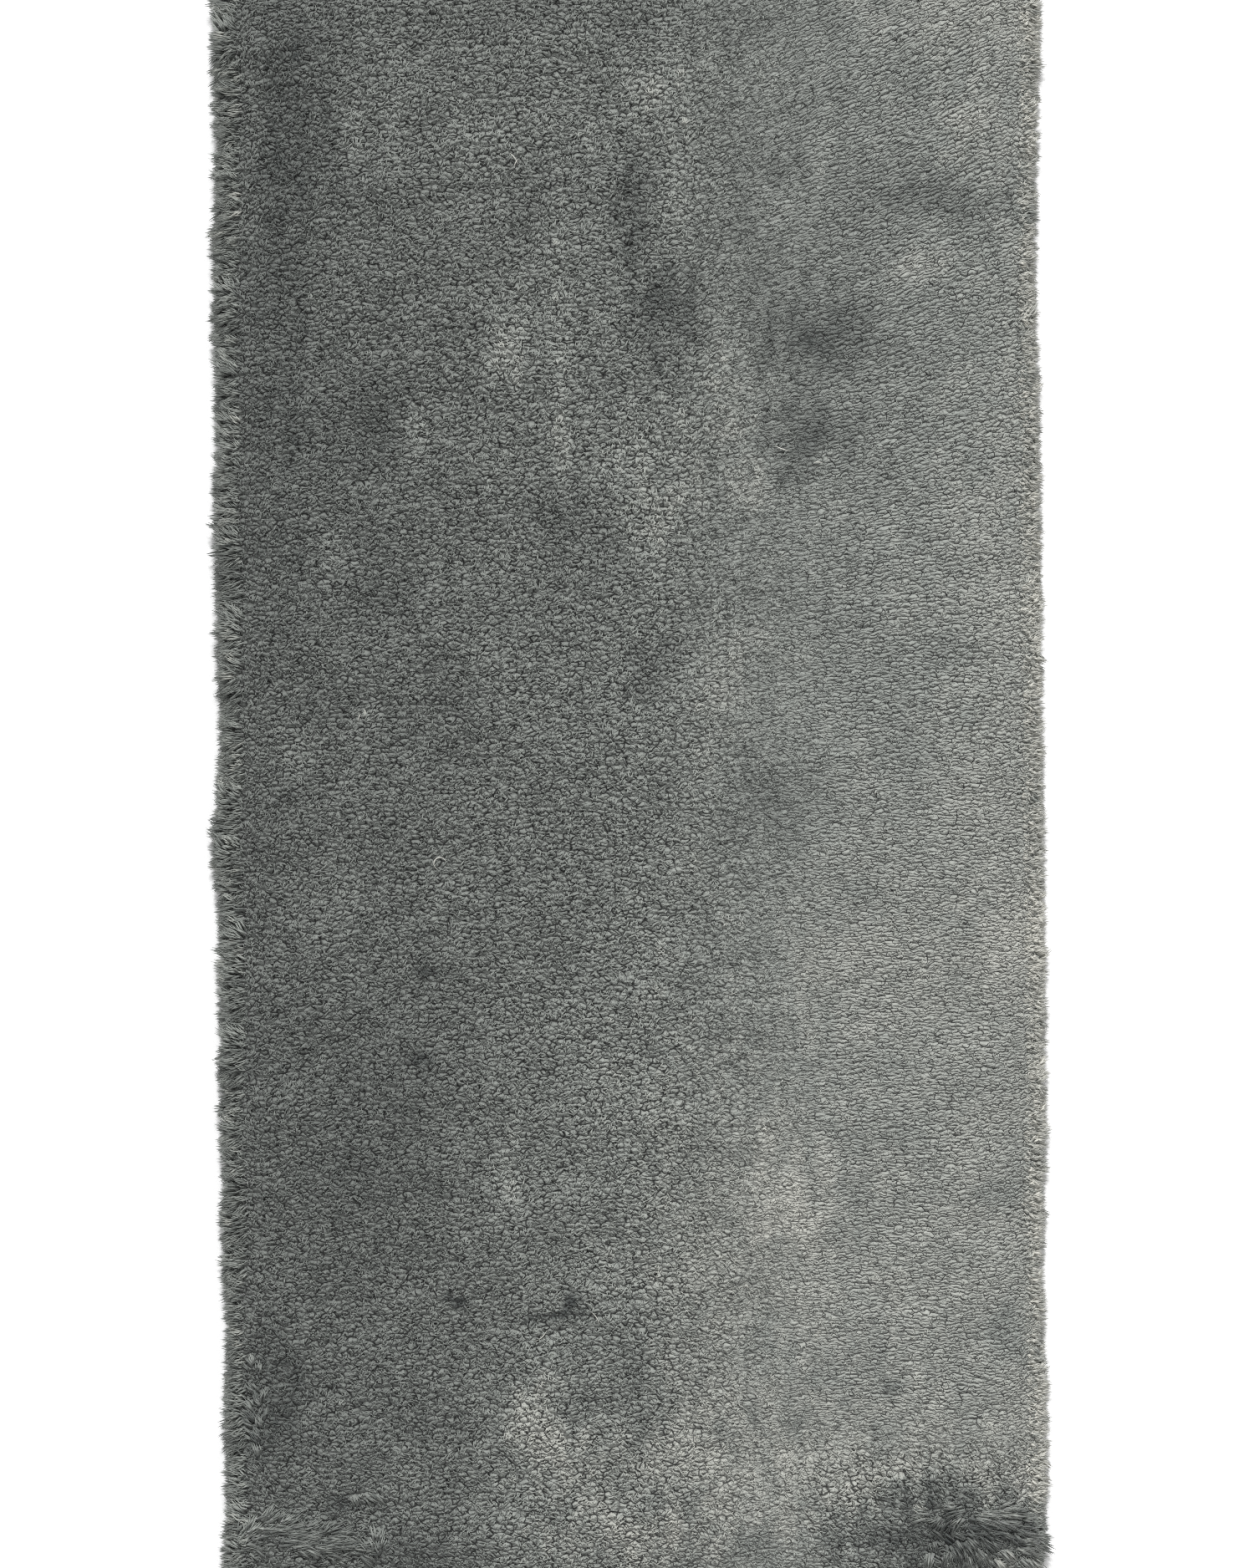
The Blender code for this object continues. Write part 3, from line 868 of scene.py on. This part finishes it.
surface = node(
    tree,
    "ShaderNodeBsdfPrincipled",
    {
        "Base Color": colour,
        "Roughness": 0.8,
        "Specular IOR Level": 0.0,
        "Sheen Weight": 0.25,
        "Sheen Roughness": 0.4,
    },
)
node(tree, "ShaderNodeOutputMaterial", {"Surface": surface})

STORED = {
    "stance": "FLOAT_VECTOR",
    "length": "FLOAT",
    "pale": "FLOAT",
    "kind": "INT",
    "strand": "FLOAT_VECTOR",
}


def tufting_tree():
    """Geometry nodes that set a tuft in each stitch, turn it with the nap and map its shade and length."""
    tree, given = geometry_tree("tufting", Stitches="Geometry", Tufts="Collection", Yarn="Material")
    stored = {}
    for name, kind in STORED.items():
        stored[name] = node(tree, "GeometryNodeInputNamedAttribute", {"Name": name}, data_type=kind)
    kinds = node(
        tree,
        "GeometryNodeCollectionInfo",
        {"Collection": given.outputs["Tufts"], "Separate Children": True, "Reset Children": True},
    )
    stance = node(tree, "FunctionNodeEulerToRotation", {0: stored["stance"]})
    size = node(tree, "ShaderNodeCombineXYZ", {0: 1.0, 1: 1.0, 2: stored["length"]})
    planted = node(
        tree,
        "GeometryNodeInstanceOnPoints",
        {
            "Points": given.outputs["Stitches"],
            "Instance": kinds,
            "Pick Instance": True,
            "Instance Index": stored["kind"],
            "Rotation": stance,
            "Scale": size,
        },
    )
    real = node(tree, "GeometryNodeRealizeInstances", {0: planted})
    inside = node(tree, "ShaderNodeClamp", {0: stored["pale"], 1: 0.0, 2: PALEST})
    steps = node(tree, "ShaderNodeMath", {0: inside, 1: SHADES}, operation="MULTIPLY")
    step = node(tree, "ShaderNodeMath", {0: steps}, operation="FLOOR")
    strand = node(tree, "ShaderNodeSeparateXYZ", {0: stored["strand"]})
    inset = node(tree, "ShaderNodeMapRange", {0: strand.outputs["X"], 3: SHADE_MARGIN, 4: 1 - SHADE_MARGIN})
    column = node(tree, "ShaderNodeMath", {0: step, 1: inset}, operation="ADD")
    across = node(tree, "ShaderNodeMath", {0: column, 1: SHADES}, operation="DIVIDE")
    place = node(tree, "ShaderNodeCombineXYZ", {0: across, 1: strand.outputs["Y"]})
    mapped = node(
        tree,
        "GeometryNodeStoreNamedAttribute",
        {"Geometry": real, "Name": "OFBake", "Value": place},
        data_type="FLOAT2",
        domain="CORNER",
    )
    spun = node(tree, "GeometryNodeSetMaterial", {"Geometry": mapped, "Material": given.outputs["Yarn"]})
    node(tree, "NodeGroupOutput", {0: spun})
    return tree


tufting = tufting_tree()
Stitch = namedtuple("Stitch", "place stance length pale kind")
foot_surface = surface_of(matted_foot)


def field_row(row, rng):
    """One row of stitches across the cloth, each with the lean of the nap and of the bed where it is."""
    row_y = backing_low.y + FIRST_ROW + row * ROW_PITCH
    left, right = cloth_edges(row_y)
    count = int((right - left) / TUFT_PITCH)
    for column in range(count + 1):
        x = left + (column + 0.5 * (row % 2)) * (right - left) / count + rng.uniform(-1, 1) * STITCH_WANDER
        y = row_y + rng.uniform(-1, 1) * STITCH_WANDER
        ground, slope = straight_down(foot_surface, x, y)
        if ground is None or x > right + PAST_CLOTH:
            continue
        heading, tilt, pale, length = nap(x, y)
        tilt, heading = tilt + rng.gauss(0, TILT_SCATTER), heading + rng.gauss(0, HEADING_SCATTER)
        off = math.sin(tilt)
        lean = Vector((off * math.cos(heading), off * math.sin(heading), math.cos(tilt)))
        lean += SLOPE_LEAN * Vector((slope.x, slope.y, 0))
        stance = Vector((0, math.atan2(math.hypot(lean.x, lean.y), lean.z), math.atan2(lean.y, lean.x)))
        place = ground - slope * ROOT_BELOW_BED
        shade = pale + rng.gauss(0, SHADE_SCATTER)
        yield Stitch(place, stance, length * rng.uniform(*TUFT_LENGTHS), shade, rng.randrange(TUFT_KINDS))


def tufted(name, stitches, kinds):
    """A layer of the pile: a tuft in each of these stitches, as one plain mesh."""
    points = bpy.data.meshes.new(name)
    points.from_pydata([stitch.place for stitch in stitches], [], [])
    stances = [turn for stitch in stitches for turn in stitch.stance]
    points.attributes.new("stance", "FLOAT_VECTOR", "POINT").data.foreach_set("vector", stances)
    for field in ("length", "pale", "kind"):
        values = [getattr(stitch, field) for stitch in stitches]
        points.attributes.new(field, STORED[field], "POINT").data.foreach_set("value", values)
    obj = new_object(name, points)
    grown(obj, tufting, {"Tufts": kinds, "Yarn": yarn})
    for attribute in ("strand", "pale"):
        if attribute in obj.data.attributes:
            obj.data.attributes.remove(obj.data.attributes[attribute])
    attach(obj, "root")
    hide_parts("pile")


# Every fourth row goes into the same layer, so each layer covers the whole rug.
rng = random.Random(11)
layers = [[] for layer in range(PILE_LAYERS)]
for row in range(int((cloth_length - 2 * FIRST_ROW) / ROW_PITCH) + 1):
    layers[row % PILE_LAYERS] += field_row(row, rng)
for number, stitches in enumerate(layers):
    tufted(f"pile_rows_{number + 1}", stitches, tufts)

# The rim. The outermost rows have nothing to lean on, so their tufts splay outwards and down over the edge of
# the cloth, in fans. They are the same yarn, longer on the left and at the ends, and short on the right. They
# are drawn paler than the pile within, a painted light on the fringe.
RIM_KINDS = 10
RIM_LENGTH = 0.0135
RIM_STRANDS = 9
RIM_RADIUS = 0.0016
RIM_SPREAD = 0.0036
RIM_CURL = 0.0022
Row = namedtuple("Row", "out height tilt length")
RIM_ROWS = {
    "left": (
        Row(-0.0030, 0.0195, 44, 1.05),
        Row(0.0025, 0.0185, 54, 1.10),
        Row(0.0070, 0.0165, 66, 1.05),
        Row(0.0100, 0.0140, 76, 1.00),
        Row(0.0115, 0.0110, 85, 0.95),
        Row(0.0110, 0.0085, 90, 0.80),
    ),
    "right": (
        Row(0.0045, 0.0172, 60, 0.42),
        Row(0.0090, 0.0158, 68, 0.50),
        Row(0.0125, 0.0142, 76, 0.60),
        Row(0.0148, 0.0120, 84, 0.72),
        Row(0.0158, 0.0096, 92, 0.76),
        Row(0.0142, 0.0076, 98, 0.74),
    ),
}
RIM_ROWS["end"] = RIM_ROWS["left"]
# Painted light: how much paler the rim is drawn than the pile within.
RIM_PAINTED_LIGHT = {"left": 0.18, "right": 0.20, "end": 0.04}
FAN = {"left": 1.2, "right": 0.6, "end": 1.0}
FAN_WAVES = (Wave(0.016, 1.0, 31.0), Wave(0.008, 0.5, 32.0))
SPLAY = {"left": 0.22, "right": 0.35, "end": 0.25}
LOBE = 0.32
LOBE_WAVES = (Wave(0.030, 0.9, 33.0), Wave(0.010, 0.5, 34.0))
WANDER_OUT, WANDER_ALONG, WANDER_UP = 0.002, 0.0025, 0.001
RIM_TILTS, RIM_LENGTHS, RIM_SHADES = (-3, 12), (0.85, 1.15), 0.09

rim_tufts = tuft_kinds(
    "rim_tuft", RIM_KINDS, 200, RIM_STRANDS, RIM_LENGTH, RIM_RADIUS, RIM_SPREAD, RIM_CURL
)


def rim_row(number, rng):
    """One row of stitches all the way round, whose tufts gather into fans and lobes."""
    for place, out in rim:
        side = side_of(out)
        row = RIM_ROWS[side][number]
        along = Vector((-out.y, out.x, 0))
        lobe = waves_at(place.x, place.y, LOBE_WAVES)
        fan = FAN[side] * waves_at(place.x, place.y, FAN_WAVES)
        run = rim_run(place.y, side) * max(row.out, 0.0) / RIM_ROWS[side][-1].out
        base = place + out * (row.out + run + rng.uniform(-1, 1) * WANDER_OUT)
        base += along * rng.uniform(-1, 1) * WANDER_ALONG
        base.z = row.height + rng.uniform(-1, 1) * WANDER_UP
        heading = math.atan2(out.y, out.x) + fan + rng.gauss(0, SPLAY[side])
        tilt = math.radians(row.tilt - rng.uniform(*RIM_TILTS))
        length = row.length * (1 + LOBE * lobe) * rng.uniform(*RIM_LENGTHS)
        pale = nap(place.x, place.y)[2] + RIM_PAINTED_LIGHT[side] + rng.gauss(0, RIM_SHADES)
        yield Stitch(base, Vector((0, tilt, heading)), length, pale, rng.randrange(RIM_KINDS))


rng = random.Random(12)
for name, numbers in (("rim_upper_rows", (0, 1, 2)), ("rim_lower_rows", (3, 4, 5))):
    tufted(name, [stitch for number in numbers for stitch in rim_row(number, rng)], rim_tufts)

# The wisps. In the two near corners long tufts have been pulled out flat over the rest. They are the rim's
# own tufts, which lie almost level on the pile and fan out from where they are rooted.
WISP_ROOT_BELOW = 0.0010
WISP_SCATTER = 12  # degrees
WISP_TILTS, WISP_SHADES, WISP_LENGTHS = (62, 82), (-0.08, 0.20), (0.8, 1.2)
Wisps = namedtuple("Wisps", "x y wide long heading fan count length")
WISPS = (  # millimetres, degrees, how far they fan, how many, and their length
    Wisps(-376, -732, 9, 16, 30, 150, 26, 1.15),
    Wisps(-350, -722, 22, 14, 20, 50, 34, 1.20),
    Wisps(-312, -730, 30, 12, 12, 45, 44, 1.15),
    Wisps(-278, -742, 22, 9, 0, 60, 26, 1.05),
    Wisps(-250, -738, 10, 9, 95, 60, 9, 1.05),
    Wisps(-262, -688, 14, 6, -40, 60, 8, 0.90),
    Wisps(-366, -610, 7, 60, 120, 60, 26, 0.95),
    Wisps(302, -712, 26, 14, -160, 160, 24, 1.00),
    Wisps(318, -734, 34, 14, -30, 110, 34, 1.05),
    Wisps(352, -722, 30, 16, -20, 70, 46, 1.15),
    Wisps(330, -752, 46, 9, -70, 80, 34, 1.10),
    Wisps(384, -742, 14, 18, -15, 60, 26, 1.05),
)


def wisp_stitches(rng):
    for wisps in WISPS:
        for number in range(wisps.count):
            angle, off = rng.uniform(0, math.tau), math.sqrt(rng.uniform(0, 1))
            x = (wisps.x + off * wisps.wide * math.cos(angle)) / 1000
            y = (wisps.y + off * wisps.long * math.sin(angle)) / 1000
            ground, slope = straight_down(foot_surface, x, y)
            if ground is None:
                continue
            across = math.sin(angle - math.radians(wisps.heading)) * off
            heading = math.radians(wisps.heading + wisps.fan / 2 * across + rng.gauss(0, WISP_SCATTER))
            stance = Vector((0, math.radians(rng.uniform(*WISP_TILTS)), heading))
            pale = nap(x, y)[2] + rng.uniform(*WISP_SHADES)
            place = ground - slope * WISP_ROOT_BELOW
            length = wisps.length * rng.uniform(*WISP_LENGTHS)
            yield Stitch(place, stance, length, pale, rng.randrange(RIM_KINDS))


tufted("wisps", list(wisp_stitches(random.Random(13))), rim_tufts)

# The loose strands. A few single strands of the yarn have come out of their tufts and lie curled on the pile.
# Each is a bent path that geometry nodes sweep with a thin section.
LOOSE_RADIUS = 0.0007
LOOSE_POINTS = 9
LOOSE_LIFT, LOOSE_ARCH = 0.0012, 0.0014  # off the pile, and how much more at its middle
LOOSE_SHADE = 13
Loose = namedtuple("Loose", "x y heading length bend")
LOOSE = (  # millimetres and degrees, and how far each turns over its length
    Loose(-104, 602, 110, 13, 30),
    Loose(-108, 598, 80, 10, -30),
    Loose(-178, -76, 75, 26, 250),
    Loose(158, 322, 175, 15, -25),
    Loose(-257, 66, 60, 9, 50),
    Loose(-262, 62, 100, 8, -40),
    Loose(190, 310, 160, 9, 30),
    Loose(-95, -540, 20, 16, 40),
    Loose(-40, -512, -30, 14, -50),
)


def sweeping_tree():
    """Geometry nodes that sweep a thin section along each strand, thinner still towards its two ends."""
    tree, given = geometry_tree("sweeping", Paths="Geometry", Radius="Float", Yarn="Material")
    curves = node(tree, "GeometryNodeMeshToCurve", {0: given.outputs["Paths"]})
    along = node(tree, "GeometryNodeSplineParameter")
    from_middle = node(tree, "ShaderNodeMath", {0: along.outputs["Factor"], 1: 0.5}, operation="SUBTRACT")
    off_middle = node(tree, "ShaderNodeMath", {0: from_middle}, operation="ABSOLUTE")
    thin = node(tree, "ShaderNodeMapRange", {0: off_middle, 1: 0.2, 2: 0.5, 3: 1.0, 4: 0.3})
    radius = node(tree, "ShaderNodeMath", {0: thin, 1: given.outputs["Radius"]}, operation="MULTIPLY")
    tapered = node(tree, "GeometryNodeSetCurveRadius", {"Curve": curves, "Radius": radius})
    circle = "GeometryNodeCurvePrimitiveCircle"
    section = node(tree, circle, {"Resolution": STRAND_SIDES, "Radius": 1.0}, mode="RADIUS")
    around = node(tree, "GeometryNodeSplineParameter")
    kept = node(tree, "GeometryNodeCaptureAttribute", {"Geometry": tapered})
    kept.capture_items.new("FLOAT", "Along")
    tree.links.new(along.outputs["Factor"], kept.inputs["Along"])
    kept_round = node(tree, "GeometryNodeCaptureAttribute", {"Geometry": section.outputs["Curve"]})
    kept_round.capture_items.new("FLOAT", "Around")
    tree.links.new(around.outputs["Factor"], kept_round.inputs["Around"])
    swept = node(
        tree,
        "GeometryNodeCurveToMesh",
        {
            "Curve": kept.outputs["Geometry"],
            "Profile Curve": kept_round.outputs["Geometry"],
            "Scale": radius,
            "Fill Caps": True,
        },
    )
    across = node(
        tree,
        "ShaderNodeMapRange",
        {0: kept_round.outputs["Around"], 3: (LOOSE_SHADE + 0.1) / SHADES, 4: (LOOSE_SHADE + 0.9) / SHADES},
    )
    place = node(tree, "ShaderNodeCombineXYZ", {0: across, 1: kept.outputs["Along"]})
    mapped = node(
        tree,
        "GeometryNodeStoreNamedAttribute",
        {"Geometry": swept, "Name": "OFBake", "Value": place},
        data_type="FLOAT2",
        domain="CORNER",
    )
    real = node(tree, "GeometryNodeRealizeInstances", {0: mapped})
    spun = node(tree, "GeometryNodeSetMaterial", {"Geometry": real, "Material": given.outputs["Yarn"]})
    node(tree, "NodeGroupOutput", {0: spun})
    return tree


points, edges = [], []
for strand in LOOSE:
    x, y, heading = strand.x / 1000, strand.y / 1000, math.radians(strand.heading)
    for number in range(LOOSE_POINTS):
        height = straight_down(foot_surface, x, y)[0].z
        lift = LOOSE_LIFT + LOOSE_ARCH * math.sin(math.pi * number / (LOOSE_POINTS - 1))
        if number:
            edges.append((len(points) - 1, len(points)))
        points.append((x, y, height + lift))
        heading += math.radians(strand.bend) / (LOOSE_POINTS - 1)
        x += math.cos(heading) * strand.length / 1000 / (LOOSE_POINTS - 1)
        y += math.sin(heading) * strand.length / 1000 / (LOOSE_POINTS - 1)
paths = bpy.data.meshes.new("loose_strands")
paths.from_pydata(points, edges, [])
loose_strands = new_object("loose_strands", paths)
grown(loose_strands, sweeping_tree(), {"Radius": LOOSE_RADIUS, "Yarn": yarn})
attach(loose_strands, "root")
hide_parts("pile")
